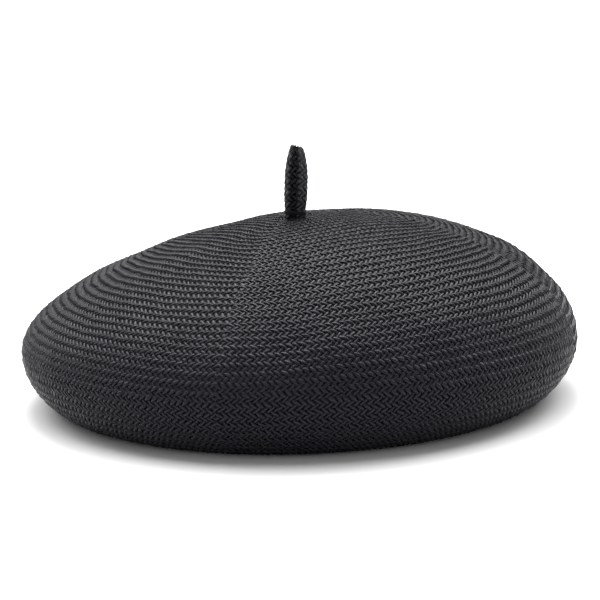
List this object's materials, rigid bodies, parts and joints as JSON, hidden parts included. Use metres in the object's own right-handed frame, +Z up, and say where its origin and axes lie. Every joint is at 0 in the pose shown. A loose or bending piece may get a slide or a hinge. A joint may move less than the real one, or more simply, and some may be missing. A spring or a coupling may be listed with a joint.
{
  "type": "woven straw beret",
  "caption": "Blocked woven straw beret with an upright rolled straw stalk, a wired and bound head edge and a ribbon sweatband.",
  "frame": {"origin": "on the floor under the middle of the hat, at the centre of the resting ring", "axes": "+Z up through the stalk, -Y the wearer's front, +Y the back where the sweatband joins, +X the side that is blocked fuller"},
  "size_m": [0.28, 0.28, 0.1285],
  "materials": {
    "straw": "dyed sisal, satin",
    "thread": "matte",
    "wire": "thread covered",
    "joiner": "satin",
    "binding": "matte cotton",
    "ribbon": "ribbed",
    "label": "satin"
  },
  "bodies": {
    "hat": {"straw_shell": "straw", "stalk_tack_left": "thread", "stalk_tack_right": "thread", "tack_knot": "thread", "head_wire": "wire", "wire_joiner": "joiner", "edge_binding": "binding", "binding_thread": "thread", "head_ribbon": "ribbon", "ribbon_thread": "thread", "bow_loops": "ribbon", "bow_wrap": "ribbon", "label_tack": "thread"},
    "stalk": {"stalk": "straw", "stalk_wrap_thread": "thread"},
    "label": {"size_label": "label"}
  },
  "joints": [
    {"name": "stalk_bend", "type": "hinge", "parent": "hat", "child": "stalk", "pos_m": [0, 0, 0.0928], "axis": [0.9981, 0, -0.061], "range_deg": [-35, 35], "stiffness_Nm_per_rad": 0.02},
    {"name": "label_flap", "type": "hinge", "parent": "hat", "child": "label", "pos_m": [-0.04014, 0.0823, 0.0225], "axis": [-0.8217, -0.5698, 0], "range_deg": [0, 100]}
  ]
}
